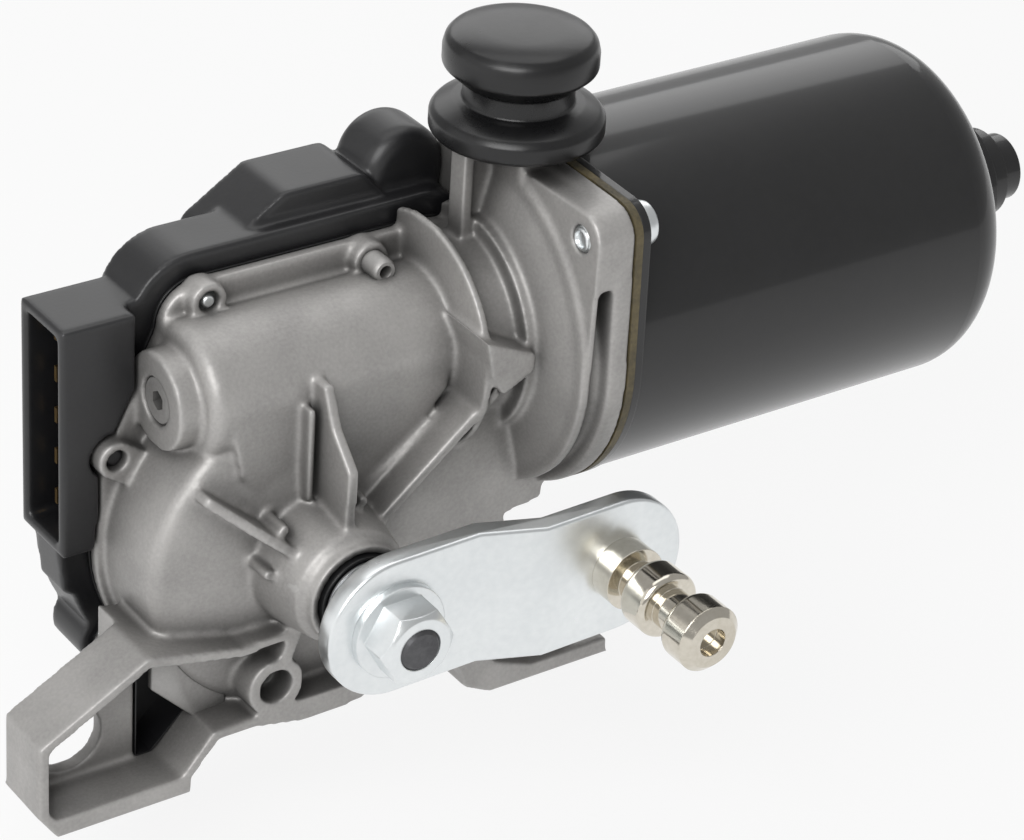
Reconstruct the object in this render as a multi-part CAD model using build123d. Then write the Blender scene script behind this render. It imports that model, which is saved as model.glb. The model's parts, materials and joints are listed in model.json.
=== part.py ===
from build123d import *
import math
import os

# Windscreen wiper motor. Millimetres, +Z up.
# The output shaft lies along Y through the origin, and the crank is on its -Y end.
# The origin is the centre of the spindle boss's end face.
# The motor's axis lies along X, behind and above the output shaft.

# Gear train: one worm start drives a plastic worm wheel
module = 1.0
wheel_teeth = 50
worm_pitch_r = 6.5
worm_turns = 8
wheel_face = 8
mesh_play = 0.25
lead_angle = math.degrees(math.atan(module / (2 * worm_pitch_r)))
wheel_pitch_r = module * wheel_teeth / 2
motor_z = wheel_pitch_r + worm_pitch_r
motor_y = 28.2

# Clearances
running = 0.03
apart = 0.3
mesh_slack = 0.05

# Output shaft and spindle
shaft_r = 5
stud_r = 4
bush_wall = 2
bush_length = 6
seal_r = 8.2
seal_depth = 3
circlip_r = 7
circlip_t = 0.8

# Crank arm, nut and link pin
crank_gap = 7.5
crank_t = 4
crank_half_width = 13.4
crank_throw = 44
crank_rest_angle = 1.3
joggle = 4.5
joggle_start = 17
joggle_end = 28
nut_flange_r = 8.95
nut_flange_t = 1.6
nut_across_flats = 13
nut_height = 7.8
pin_length = 27.2
pin_land_r = 6.3
pin_land_half = 3.3
pin_land_edge = 1.2
pin_neck_r = 3.8
pin_rivet_r = 4.6
pin_tip_r = 4.9
pin_hole_r = 2.7
pin_collar_r = 6
pin_collar_t = 4.6
pin_first_land = 11.5
pin_second_land = 23.4

# Spindle boss and gear chamber of the housing
boss_end_r = 9.75
boss_shoulder_r = 11.2
boss_root_r = 13.5
boss_land = 2
chamber_front_y = 14.5
chamber_edge_y = 17.2
chamber_edge_fillet = 2.5
chamber_r = 31.4
chamber_wall = 3
joint_y = 36.8
rim_r = 33
rim_t = 2.6
rim_top_z = 48.5
rim_left_x = -20.5
rim_right_x = 43
rim_corner_r = 8

# Ribs on the chamber's front
rib_t = 2
nib_r = 1.1
nib_y = 8.5
nib_places = [(5.6, 12.6), (-10.2, 11.5), (-13, 3.3)]
fin_x = -3.6
fin_y = 12.2
fin_t = 1.4

# Worm tunnel, neck and motor flange
tunnel_r = 12.8
tunnel_left_x = -20.5
tunnel_bore_r = 7.9
tunnel_edge = 2.5
plug_boss_r = 9
plug_boss_x = -25
plug_r = 4.4
tip_bush_r = 6.2
neck_x = 28.5
neck_r = 17
ridge_r = 21
ridge_t = 1.5
neck_pad_y = 5
ridge_step = 9.5
bulkhead_x = 42.2
groove_depth = 2.1
groove_width = 2.6
groove_top_z = 50
flange_x = 46.8
flange_t = 4
flange_over = 0.3
flange_step = 1.7
flange_edge = 1.2
flange_wall = 6.3
lobe_r = 5.7
head_gap = 0.7

# Arms of the housing
arm_front_y = 10.5
arm_back_y = 23.5
arm_wall = 2
arm_floor_t = 3
arm_web_y = 14.5
arm_web_t = 4
arm_box_back_y = 30
eye_r = 6.5
eye_x = -46
eye_z = -27
small_boss_x = -9.7
small_boss_z = -22.4
small_boss_r = 5.7
small_hole_r = 3.3

# Spigot and rubber grommet on top of the neck
grommet_x = 46.2
grommet_y = 26.5
column_x = 35
column_front_y = 25.5
column_depth = 4.5
column_post = 2.4
core_half_y = 7.5
column_top_z = 67.5
spigot_r = 6.2
spigot_top_z = 81
grommet_top_z = 87.4
grommet_flange_r = 15.6
grommet_neck_r = 9.9
grommet_disc_r = 13.8
grommet_crown = 3.4
grommet_lower_z = 73.8
grommet_upper_z = 77.5

# Rear cover and connector shroud
cover_wall = 2
cover_lip = 4
gasket_t = 0.8
cover_back_y = 50
hump_front_y = 41
hump_back_y = 56
hump_top_z = 57.5
dome_r = 8.6
dome_x = 34.5
dome_z = 54.5
shroud_x = -40
shroud_back_x = -27
shroud_y0 = 33.5
shroud_y1 = 48.5
shroud_z0 = 1
shroud_z1 = 46
board_t = 1.6
board_left_x = -23
board_post_places = [(-14, -14), (14, -12)]
pin_count = 5

# Cover screws
screw_r = 2
screw_head_r = 3.8
screw_head_t = 2.6
screw_boss_r = 3.6
cover_boss_r = 5
screw_sink = 5
screw_tip_y = 31
screw_places = [(-12.4, 45.8), (20.5, 45.4), (-29, -21.6), (18, -31.4), (37, 8.5)]
peg_place = (-30.2, 19.2)
peg_r = 1.9

# Motor can and its nose
gasket_paper_t = 1.5
can_flange_t = 1.6
can_r = 33
can_wall = 1.6
can_end_x = 141
can_corner_r = 9
nose_land = 2
nose_ring_r = 12
nose_ring_x = 155
nose_step_r = 8.8
nose_step_x = 160.5
nose_boss_r = 6.6
nose_end_x = 165.7
flange_screw_r = 2.5
flange_screw_head_r = 4.2
flange_screw_head_t = 3.6
flange_screw_length = 11

# Armature and what carries it
armature_shaft_r = 4
bearing_r = 8.3
bearing_t = 6
bearing_x = 22.3
core_x = 82
core_length = 40
core_r = 23.6
slot_count = 12
winding_over = 7
commutator_x = 62
commutator_length = 10
commutator_r = 11
magnet_r = 24.4
magnet_length = 50
end_bush_length = 9
end_bush_r = 8
brush_size = 6

# Worked out from the values above
can_flange_x = flange_x + flange_t + gasket_paper_t
can_x = can_flange_x + can_flange_t
can_inner_r = can_r - can_wall
nose_r = can_r - can_corner_r - nose_land
flange_r = can_r + flange_over
bulkhead_r = flange_r - flange_step
flange_bore_r = flange_r - flange_wall
screw_offset = (can_r + flange_screw_head_r + head_gap) * math.sqrt(0.5)
crank_back_y = -crank_gap
crank_front_y = crank_back_y - crank_t
wheel_y0 = motor_y - wheel_face / 2
wheel_y1 = motor_y + wheel_face / 2
cover_y = joint_y + gasket_t
board_y = cover_back_y - cover_wall - 3.5
chamber_inner_r = chamber_r - chamber_wall
floor_y = chamber_edge_y + chamber_wall + 0.5
inner_boss_y = floor_y + 0.4
worm_outer_r = worm_pitch_r + module
worm_root_r = worm_pitch_r - 1.25 * module
wheel_tip_r = wheel_pitch_r + module - mesh_slack
wheel_root_r = wheel_pitch_r - 1.25 * module
worm_length = worm_turns * math.pi * module
ridge_x = neck_x + ridge_step
lobe_x = bulkhead_x + 0.8
plate_end_x = flange_x + flange_t
tip_seat_x = -worm_length / 2 - 5
bulk = 400


def slab(outline, y0, y1):
    """A flat (x, z) outline made solid from y0 to y1."""
    return extrude(Plane.XZ.offset(-y0) * outline, -(y1 - y0))


def rod_y(x, z, radius, y0, y1):
    return slab(Pos(x, z) * Circle(radius), y0, y1)


def rod_x(radius, x0, x1, y=motor_y, z=motor_z):
    return extrude(Plane.YZ.offset(x0) * Pos(y, z) * Circle(radius), x1 - x0)


def ring_y(outer, inner, y0, y1):
    return slab(Circle(outer) - Circle(inner), y0, y1)


def rod_z(x, y, radius, z0, z1):
    return extrude(Plane.XY.offset(z0) * Pos(x, y) * Circle(radius), z1 - z0)


def block(x0, x1, y0, y1, z0, z1):
    middle = ((x0 + x1) / 2, (y0 + y1) / 2, (z0 + z1) / 2)
    return Pos(*middle) * Box(x1 - x0, y1 - y0, z1 - z0)


def shape(*points):
    return make_face(Polyline(*points, close=True))


def rounded(radius, *points):
    return make_face(FilletPolyline(*points, radius=radius, close=True))


def turned_y(*points):
    """Turns (radius, y) points about the output shaft's axis."""
    return revolve(shape(*points), Axis.Y)


def turned_x(*points):
    """Turns (x, radius) points about the motor's axis."""
    return Pos(0, motor_y, motor_z) * revolve(shape(*points), Axis.X)


def turned_z(x, y, *points):
    """Turns (radius, z) points about an upright axis."""
    profile = Plane.XZ * shape(*points)
    return Pos(x, y, 0) * revolve(profile, Axis.Z)


def around_motor(angle):
    """Turns a piece about the motor's axis."""
    return Pos(0, motor_y, motor_z) * Rot(angle, 0, 0) * Pos(0, -motor_y, -motor_z)


def soften(piece, axis, circle_r, place, edge_r):
    """Rounds the circular edges of one radius at one place along an axis."""
    circles = piece.edges().filter_by(GeomType.CIRCLE).filter_by(lambda e: abs(e.radius - circle_r) < 0.01)
    return fillet([e for e in circles if abs(e.arc_center.dot(axis.direction) - place) < 0.01], edge_r)


def rim_outline(grow=0):
    """The joint face: the chamber's circle with the worm tunnel's box above it."""
    box = rounded(
        rim_corner_r + grow,
        (rim_left_x - grow, rim_top_z + grow),
        (rim_right_x + grow, rim_top_z + grow),
        (rim_right_x + grow, motor_z - ridge_r - grow),
        (rim_left_x - grow, motor_z - ridge_r - grow),
    )
    shoulder = shape(
        (-rim_r * 0.97 - grow, 8),
        (-rim_r * 0.97 - grow, 17 + grow / 2),
        (rim_left_x - grow, rim_top_z - rim_corner_r + grow / 2),
        (0, rim_top_z - rim_corner_r),
        (0, 0),
    )
    return Circle(rim_r + grow) + box + shoulder


def ear(x, z, radius, y0, y1):
    """A round ear with a web towards the chamber."""
    web = Rot(0, 0, math.degrees(math.atan2(z, x))) * Pos(-radius, 0) * Rectangle(2 * radius, 2 * radius)
    inside_rim = z > motor_z
    return slab(Pos(x, z) * (Circle(radius) if inside_rim else Circle(radius) + web), y0, y1)


def screw_lugs(radius, y0, y1):
    """The ears around the cover screws."""
    return [ear(x, z, radius, y0, y1) for x, z in screw_places]


def drum():
    """The round gear chamber with its nearly flat front and the spindle boss."""
    chamber = turned_y(
        (0, chamber_front_y),
        (boss_root_r, chamber_front_y),
        (chamber_r, chamber_edge_y),
        (chamber_r, joint_y),
        (0, joint_y),
    )
    boss = turned_y(
        (0, 0),
        (boss_end_r, 0),
        (boss_end_r + 0.15, boss_land),
        (boss_shoulder_r, boss_land + 1),
        (boss_root_r, chamber_front_y + 1),
        (0, chamber_front_y + 1),
    )
    return soften(chamber, Axis.Y, chamber_r, chamber_edge_y, chamber_edge_fillet) + boss


def chamber_hollow():
    """Room for the worm wheel, open at the joint face."""
    cone_slope = (chamber_edge_y - chamber_front_y) / (chamber_r - boss_root_r)
    inner_front_y = floor_y - cone_slope * (chamber_inner_r - boss_root_r)
    hollow = turned_y(
        (0, inner_front_y),
        (boss_root_r, inner_front_y),
        (chamber_inner_r, floor_y),
        (chamber_inner_r, joint_y + 1),
        (0, joint_y + 1),
    )
    return hollow - rod_y(0, 0, shaft_r + bush_wall + chamber_wall, 0, inner_boss_y)


def tunnel():
    """The worm tunnel with its closed end, the screw's boss and the web down to the chamber."""
    tube = soften(rod_x(tunnel_r, tunnel_left_x, neck_x), Axis.X, tunnel_r, tunnel_left_x, tunnel_edge)
    plug_boss = rod_x(plug_boss_r, plug_boss_x, tunnel_left_x + 4)
    web = shape((-17, 30), (-15, 20), (-9, 13), (12, 13), (20, 19), (27, 26), (27, motor_z))
    return tube + plug_boss + slab(web, motor_y - tunnel_r, joint_y - rim_t)


def neck():
    """The bell that widens from the worm tunnel to the motor flange, with its two ridges."""
    bell = turned_x(
        (neck_x - 6, 0),
        (neck_x - 6, tunnel_r),
        (neck_x, tunnel_r),
        (neck_x, ridge_r + 1),
        (neck_x + ridge_t, ridge_r + 1),
        (neck_x + ridge_t, neck_r),
        (ridge_x, neck_r + 1),
        (ridge_x, ridge_r),
        (ridge_x + ridge_t, ridge_r),
        (ridge_x + ridge_t, ridge_r - ridge_t),
        (bulkhead_x, bulkhead_r - 2.5),
        (bulkhead_x, bulkhead_r),
        (bulkhead_x + ridge_t, bulkhead_r),
        (bulkhead_x + ridge_t, bulkhead_r - 1.5),
        (flange_x, bulkhead_r - 1.5),
        (flange_x, 0),
    )
    pad = slab(shape((27.5, 40), (38.4, 35.1), (38.4, 31.8), (31.6, 28.5), (29, 33)), neck_pad_y, motor_y)
    behind_joint = block(neck_x - 10, bulkhead_x, joint_y, joint_y + bulk, -bulk, bulk)
    return bell + pad - behind_joint


def flange_outline(radius):
    """Outline of the motor flange, seen along X, drawn out to an ear at each screw."""
    ears = [Pos(s * -screw_offset, s * screw_offset) * Circle(lobe_r) for s in (1, -1)]
    return make_hull([edge for piece in [Circle(radius), *ears] for edge in piece.edges()])


def flange_plate(radius, x0, x1):
    return extrude(Plane.YZ.offset(x0) * Pos(motor_y, motor_z) * flange_outline(radius), x1 - x0)


def motor_flange():
    """The housing's flange: a soft-edged plate, and a front body with a groove round its lower half."""
    plate = flange_plate(flange_r, flange_x, plate_end_x)
    plate = fillet(plate.edges().group_by(Axis.X)[0], flange_edge)
    body = flange_plate(bulkhead_r, lobe_x, flange_x + flange_t / 2)
    groove = ring_x(2 * bulkhead_r, bulkhead_r - groove_depth, flange_x - groove_width, flange_x)
    groove &= block(-bulk, bulk, -bulk, motor_y, -bulk, groove_top_z)
    return plate + (body - groove)


def flange_screw_rods(radius, x0, x1):
    places = [(motor_y - s * screw_offset, motor_z + s * screw_offset) for s in (1, -1)]
    return [rod_x(radius, x0, x1, y, z) for y, z in places]


def motor_hollow():
    """The worm tunnel's bore, the seats in it and the inside of the bell."""
    seat_end = bearing_x + bearing_t
    return turned_x(
        (plug_boss_x - 1, 0),
        (plug_boss_x - 1, plug_r),
        (tip_seat_x, plug_r),
        (tip_seat_x, tip_bush_r),
        (tip_seat_x + 2.5, tip_bush_r),
        (tip_seat_x + 2.5, tunnel_bore_r),
        (bearing_x, tunnel_bore_r),
        (bearing_x, bearing_r),
        (seat_end, bearing_r),
        (seat_end + 1.5, neck_r - chamber_wall),
        (ridge_x, neck_r - chamber_wall + 0.5),
        (bulkhead_x - 1, neck_r - chamber_wall + 1),
        (flange_x - 1.8, flange_bore_r),
        (plate_end_x + 1, flange_bore_r),
        (plate_end_x + 1, 0),
    )


def left_arm_outline():
    return shape(
        (-56.8, -19.5),
        (-57, -34),
        (-53.5, -39),
        (-26.6, -39),
        (-26.6, -36),
        (-21.4, -29.8),
        (-14.7, -29.6),
        (-2.7, -32),
        (7.2, -31.4),
        (16, -29),
        (9, -9),
        (-4, -9.5),
        (-8.8, -11.1),
        (-16.5, -11.7),
        (-30, -9),
        (-35.6, -7.7),
    )


def left_arm_pocket():
    """Inside of the arm's walls, with the thicker wall along its bottom."""
    x = small_boss_x
    low = shape((-bulk, -35.4), (x, -35.4), (x, -27), (bulk, -27), (bulk, -bulk), (-bulk, -bulk))
    return offset(left_arm_outline(), -arm_wall, kind=Kind.INTERSECTION) - low


def left_arm():
    """Open-fronted box arm that runs on below the chamber, with a deeper box in its middle."""
    floor_y = arm_back_y - arm_floor_t
    arm = slab(left_arm_outline(), arm_front_y, arm_back_y)
    arm += slab(left_arm_outline() & deep_strip(arm_wall), arm_back_y, arm_box_back_y)
    arm -= slab(left_arm_pocket(), arm_front_y - 1, floor_y)
    return arm - slab(left_arm_pocket() & deep_strip(0), floor_y - 1, arm_box_back_y - arm_wall)


def deep_strip(grow):
    """The part of the arm between the eye and the small boss, where the box is deeper."""
    return Pos(-23.5, 0) * Rectangle(19 + 2 * grow, bulk)


def right_arm():
    """Triangular gusset with a foot wall along its bottom edge."""
    web = [(-4, -4), (8, 10), (38, 32), (46, 20), (49.2, 1), (48.4, -2.7), (40.2, -3.8), (44, -12), (60, -36)]
    web += [(64, -37), (64, -39.5), (36.6, -39.5), (31.3, -36.7), (30.2, -33.4), (26, -26), (12, -12)]
    foot = [(28, -30.5), (30.2, -33.4), (31.3, -36.7), (36.6, -39.5), (64, -39.5), (63.5, -36.2)]
    foot += [(46.4, -36.5), (38.2, -33.3), (32, -27)]
    return slab(shape(*web), arm_web_y, arm_web_y + arm_web_t) + slab(shape(*foot), arm_front_y, arm_back_y)


def small_boss():
    """The small tapped boss below the chamber, with its stalks to the walls above and below."""
    x, z = small_boss_x, small_boss_z
    upper = shape((x - 1.2, z), (x + 1.2, z), (-3.5, -10), (-6.5, -9.5))
    lower = shape((x - 1.5, z), (x + 1.5, z), (x + 1.5, -30), (x - 1.5, -30))
    return slab(Pos(x, z) * Circle(small_boss_r) + upper + lower, arm_front_y, chamber_edge_y)


def upright_rib(turn, *crest):
    """A thin rib below a crest of (radius, y) points, turned about the shaft from +X towards +Z."""
    outline = shape((crest[0][0], floor_y), *crest, (crest[-1][0], floor_y))
    return Rot(0, -turn, 0) * extrude(outline, rib_t / 2, both=True)


def ribs():
    """Radial ribs that stiffen the spindle boss against the chamber, and the small ejector nibs."""
    up = upright_rib(90, (8, 3.9), (22.8, 3.2), (28.7, 9), (35.8, 12.1))
    right = upright_rib(40, (8, 7.8), (43, 7.8))
    left = upright_rib(141, (8, 5.4), (9.6, 5.7), (19.9, 8.4), (30.2, 12.8))
    fin = block(fin_x, fin_x + fin_t, fin_y, floor_y, boss_root_r, motor_z)
    nibs = [rod_y(x, z, nib_r, nib_y, floor_y) for x, z in nib_places]
    return [up, right, left, fin] + nibs


def grommet_column():
    """Thin post on the neck, recessed in front, with the core that carries the grommet's spigot."""
    foot_z = motor_z + tunnel_r
    post = block(column_x, plate_end_x, column_front_y, column_front_y + column_depth, foot_z, column_top_z)
    recess = block(column_x + column_post, lobe_x, 0, column_front_y + 2, foot_z, column_top_z - 3)
    y0, y1 = grommet_y - core_half_y, grommet_y + core_half_y
    core = block(bulkhead_x, plate_end_x, y0, y1, foot_z, column_top_z)
    return post - recess + core + rod_z(grommet_x, grommet_y, spigot_r, column_top_z - 1, spigot_top_z)


def gear_housing():
    body = drum() + slab(rim_outline(), joint_y - rim_t, joint_y) + tunnel() + neck() + motor_flange()
    body += screw_lugs(screw_boss_r, screw_tip_y + 0.5, joint_y)
    body += ear(*peg_place, screw_boss_r, screw_tip_y + 0.5, joint_y)
    body += [left_arm(), right_arm(), small_boss(), grommet_column()] + ribs()
    body -= block(-bulk, bulkhead_x, joint_y, joint_y + bulk, -bulk, bulk)
    body -= chamber_hollow()
    body -= motor_hollow()
    body -= rod_y(0, 0, shaft_r + bush_wall, -1, inner_boss_y + 1)
    body -= rod_y(0, 0, seal_r, -1, seal_depth)
    body -= rod_y(eye_x, eye_z, eye_r, arm_front_y - 5, arm_back_y + 5)
    body -= rod_y(small_boss_x, small_boss_z, small_hole_r, arm_front_y - 1, chamber_edge_y - 1)
    body -= [rod_y(x, z, screw_r, screw_tip_y - 1, joint_y + 1) for x, z in screw_places]
    body -= rod_y(*peg_place, peg_r + mesh_slack, screw_tip_y - 1, joint_y + 1)
    return body - flange_screw_rods(flange_screw_r, lobe_x - 1, plate_end_x + 1)


def cover_gasket():
    ring = rim_outline() - offset(rim_outline(), -cover_wall - 1)
    gasket = slab(ring, joint_y, cover_y)
    gasket -= block(bulkhead_x - apart, bulk, 0, bulk, -bulk, bulk)
    gasket -= rod_y(*peg_place, peg_r, 0, bulk)
    return gasket - [rod_y(x, z, screw_r, 0, bulk) for x, z in screw_places]


def cover_hump_outline():
    """The raised part on the cover's back, which looks over its top edge."""
    low_z = motor_z - 14
    top = [(-4.5, rim_top_z + 1), (8, hump_top_z), (24.5, hump_top_z), (30, hump_top_z - 6.5)]
    return rounded(3, (-8, low_z), *top, (30, low_z))


def connector_shroud():
    """The plug socket that opens towards -X beside the chamber."""
    outer = block(shroud_x, plug_boss_x - 2 * apart, shroud_y0, shroud_y1, shroud_z0, shroud_z1)
    outer += block(shroud_back_x, rim_left_x, cover_y, shroud_y1, shroud_z0, shroud_z1)
    gusset = shape((shroud_x + 1, shroud_z0 + 3), (-37.5, -9.2), (-30, -14), (-25, 0), (-30, shroud_z0 + 6))
    return outer + slab(gusset, cover_y, shroud_y1 - 2)


def plug_hollow():
    """Room for the plug, kept a wall away from the rim in front of the joint face."""
    hollow = block(
        shroud_x - 1,
        shroud_back_x,
        shroud_y0 + cover_wall,
        shroud_y1 - cover_wall,
        shroud_z0 + cover_wall,
        shroud_z1 - cover_wall,
    )
    return hollow - slab(rim_outline(cover_wall + 4 * apart), 0, cover_y + cover_wall)


def rear_cover():
    band = slab(rim_outline(cover_lip), cover_y, cover_back_y)
    hump = slab(cover_hump_outline(), hump_front_y, hump_back_y)
    dome = rod_y(dome_x, dome_z, dome_r, hump_front_y + 1, hump_back_y - 1)
    dome = fillet(dome.edges().group_by(Axis.Y)[0] + dome.edges().group_by(Axis.Y)[-1], 3)
    cover = band + hump + dome + connector_shroud()
    cover += screw_lugs(cover_boss_r, cover_y, cover_back_y - 1)
    inside = slab(offset(rim_outline(), -cover_wall), cover_y - 1, cover_back_y - cover_wall)
    inside -= [rod_y(x, z, cover_boss_r, cover_y - 1, cover_back_y) for x, z in screw_places]
    inside -= block(-bulk, shroud_back_x + cover_wall, 0, bulk, shroud_z0 - 1, shroud_z1)
    cover -= inside
    hump_room = offset(cover_hump_outline(), -cover_wall)
    cover -= slab(hump_room, hump_front_y + cover_wall, hump_back_y - cover_wall)
    cover -= plug_hollow()
    cover -= slab(rim_outline(2 * apart), 0, cover_y)
    cover -= ear(*peg_place, screw_boss_r + 2 * apart, 0, cover_y)
    cover -= block(bulkhead_x - apart, bulk, 0, bulk, -bulk, bulk)
    cover -= [rod_y(x, z, screw_r, 0, bulk) for x, z in screw_places]
    cover -= [rod_y(x, z, screw_head_r + apart, cover_back_y - screw_sink, bulk) for x, z in screw_places]
    return cover + rod_y(*peg_place, peg_r, screw_tip_y + 2, cover_y + 1) + board_posts() - connector_pins()


def cover_screws():
    head_y = cover_back_y - screw_sink
    screws = []
    for x, z in screw_places:
        shank = rod_y(x, z, screw_r, screw_tip_y, head_y)
        screws.append(shank + rod_y(x, z, screw_head_r, head_y, head_y + screw_head_t))
    return screws


def motor_can():
    """Deep drawn steel can with its flange and the stepped bearing nose."""
    retainer_x = nose_ring_x - 1.5
    can = turned_x(
        (can_flange_x, can_inner_r),
        (can_flange_x, can_r),
        (can_end_x, can_r),
        (can_end_x, nose_r),
        (nose_ring_x - 3, nose_ring_r),
        (nose_ring_x, nose_ring_r),
        (nose_ring_x, nose_step_r),
        (nose_step_x, nose_step_r),
        (nose_step_x, nose_boss_r),
        (nose_end_x, nose_boss_r),
        (nose_end_x, 0),
        (nose_end_x - 2, 0),
        (nose_end_x - 2, armature_shaft_r + 1),
        (retainer_x, armature_shaft_r + 1),
        (retainer_x, end_bush_r),
        (retainer_x - end_bush_length, end_bush_r),
        (can_end_x - can_wall, nose_r - 2),
        (can_end_x - can_wall, can_inner_r),
    )
    can = soften(can, Axis.X, can_r, can_end_x, can_corner_r)
    can = soften(can, Axis.X, can_inner_r, can_end_x - can_wall, can_corner_r - can_wall)
    flange = flange_plate(flange_r, can_flange_x, can_x) - rod_x(can_inner_r, can_flange_x - 1, can_x + 1)
    return can + flange - flange_screw_rods(flange_screw_r, can_flange_x - 1, can_x + 1)


def flange_gasket():
    gasket = flange_plate(flange_r, plate_end_x, can_flange_x) - rod_x(flange_bore_r, flange_x, can_x)
    return gasket - flange_screw_rods(flange_screw_r, flange_x, can_x)


def flange_screws():
    heads = flange_screw_rods(flange_screw_head_r, can_x, can_x + flange_screw_head_t)
    shanks = flange_screw_rods(flange_screw_r, can_x - flange_screw_length, can_x)
    return [head + shank for head, shank in zip(heads, shanks)]


def mount_grommet():
    """Rubber mounting: a flange, a waist for the bracket's slot and a crowned head."""
    x, y = grommet_x, grommet_y
    outer = turned_z(
        x,
        y,
        (0, column_top_z),
        (grommet_flange_r - 0.8, column_top_z),
        (grommet_flange_r, column_top_z + 0.8),
        (grommet_flange_r, grommet_lower_z - 2.6),
        (grommet_flange_r - 1, grommet_lower_z - 1.5),
        (grommet_neck_r + 1.6, grommet_lower_z),
        (grommet_neck_r, grommet_lower_z),
        (grommet_neck_r, grommet_upper_z),
        (grommet_neck_r + 0.5, grommet_upper_z),
        (grommet_disc_r, grommet_upper_z + 3),
        (grommet_disc_r, grommet_top_z - 0.8),
        (grommet_neck_r, grommet_top_z),
        (0, grommet_top_z),
    )
    outer = soften(outer, Axis.Z, grommet_disc_r, grommet_top_z - 0.8, grommet_crown)
    return outer - rod_z(x, y, spigot_r, column_top_z - 1, spigot_top_z)


def spindle_bush(y0):
    return ring_y(shaft_r + bush_wall, shaft_r + running, y0, y0 + bush_length)


def spindle_seal():
    return ring_y(seal_r, shaft_r + 0.1, -1, seal_depth)


def output_shaft():
    stud_end = crank_front_y - nut_height - 0.3
    shaft = rod_y(0, 0, shaft_r, crank_front_y, wheel_y1 + 2)
    shaft += rod_y(0, 0, stud_r, stud_end, crank_front_y)
    return chamfer(shaft.edges().group_by(Axis.Y)[0], 0.6)


def circlip():
    ring = Circle(circlip_r) - Circle(shaft_r) - Pos(0, -circlip_r) * Rectangle(3, 6)
    return slab(ring, -2.6, -2.6 + circlip_t)


def spindle_washer():
    washer = Circle(circlip_r + 0.6) - Circle(shaft_r + 0.1)
    return slab(washer, -2.6 + circlip_t, -1 - 0.3)


def worm_wheel():
    """Plastic wheel with 50 slanted teeth, a dished web and six ribs."""
    tooth_half = module * math.pi / 4 - mesh_play / 2
    slope = math.tan(math.radians(20))
    root_half = tooth_half + 1.4 * module * slope
    tip_half = tooth_half - module * slope
    root = wheel_root_r - 0.3
    slant = math.degrees(wheel_face / 2 * math.tan(math.radians(lead_angle)) / wheel_pitch_r)
    profile = shape((-root_half, root), (root_half, root), (tip_half, wheel_tip_r), (-tip_half, wheel_tip_r))
    front = Rot(0, -slant, 0) * (Plane.XZ.offset(-wheel_y0) * profile)
    back = Rot(0, slant, 0) * (Plane.XZ.offset(-wheel_y1) * profile)
    tooth = loft([front.face(), back.face()], ruled=True)
    pitch = 360 / wheel_teeth
    teeth = [Rot(0, (i + 0.5) * pitch, 0) * tooth for i in range(wheel_teeth)]
    hub_r = shaft_r + 4
    blank = turned_y(
        (shaft_r, wheel_y0 - 1),
        (hub_r, wheel_y0 - 1),
        (hub_r, motor_y - 2),
        (wheel_root_r - 3, motor_y - 2),
        (wheel_root_r - 3, wheel_y0),
        (wheel_root_r, wheel_y0),
        (wheel_root_r, wheel_y1),
        (shaft_r, wheel_y1),
    )
    return blank + teeth


def thrust_washer():
    return slab(Circle(shaft_r + 3.5) - Circle(shaft_r + 0.1), inner_boss_y + 0.1, wheel_y0 - 1)


def park_disc():
    """Stamped contact disc on the wheel's back, with a gap in its track for the park position."""
    disc = Circle(20) - Circle(shaft_r + 4)
    gap = Rot(0, 0, 200) * Pos(15, 0) * Rectangle(5, 6)
    return slab(disc - gap, wheel_y1, wheel_y1 + 0.8)


def crank_arm():
    """Flat steel arm, set forward by a joggle between the shaft and the link pin."""
    outline = Circle(crank_half_width) + Pos(crank_throw, 0) * Circle(crank_half_width)
    outline += Pos(crank_throw / 2, 0) * Rectangle(crank_throw, 2 * crank_half_width)
    front = crank_front_y
    plate = shape(
        (-bulk, front),
        (joggle_start, front),
        (joggle_end, front - joggle),
        (bulk, front - joggle),
        (bulk, front - joggle + crank_t),
        (joggle_end + 1, front - joggle + crank_t),
        (joggle_start + 1, front + crank_t),
        (-bulk, front + crank_t),
    )
    arm = slab(outline, front - joggle - 1, crank_back_y + 1) & extrude(plate, bulk, both=True)
    arm -= rod_y(0, 0, shaft_r, front - 1, crank_back_y + 1)
    arm -= rod_y(crank_throw, 0, pin_rivet_r, front - joggle - 1, front + crank_t)
    return Rot(0, -crank_rest_angle, 0) * arm


def crank_nut():
    """Hexagon nut with its flange, chamfered at the top."""
    flat = nut_across_flats / 2
    top = crank_front_y - nut_height
    tall = slab(RegularPolygon(flat, 6, major_radius=False), top, crank_front_y)
    slope = [(flat + 3, crank_front_y), (flat + 1.2, top + 1.4), (flat - 0.6, top)]
    cap = turned_y((0, crank_front_y), *slope, (0, top))
    nut = slab(Circle(nut_flange_r), crank_front_y - nut_flange_t, crank_front_y) + (tall & cap)
    return nut - rod_y(0, 0, stud_r, top - 1, crank_front_y + 1)


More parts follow.
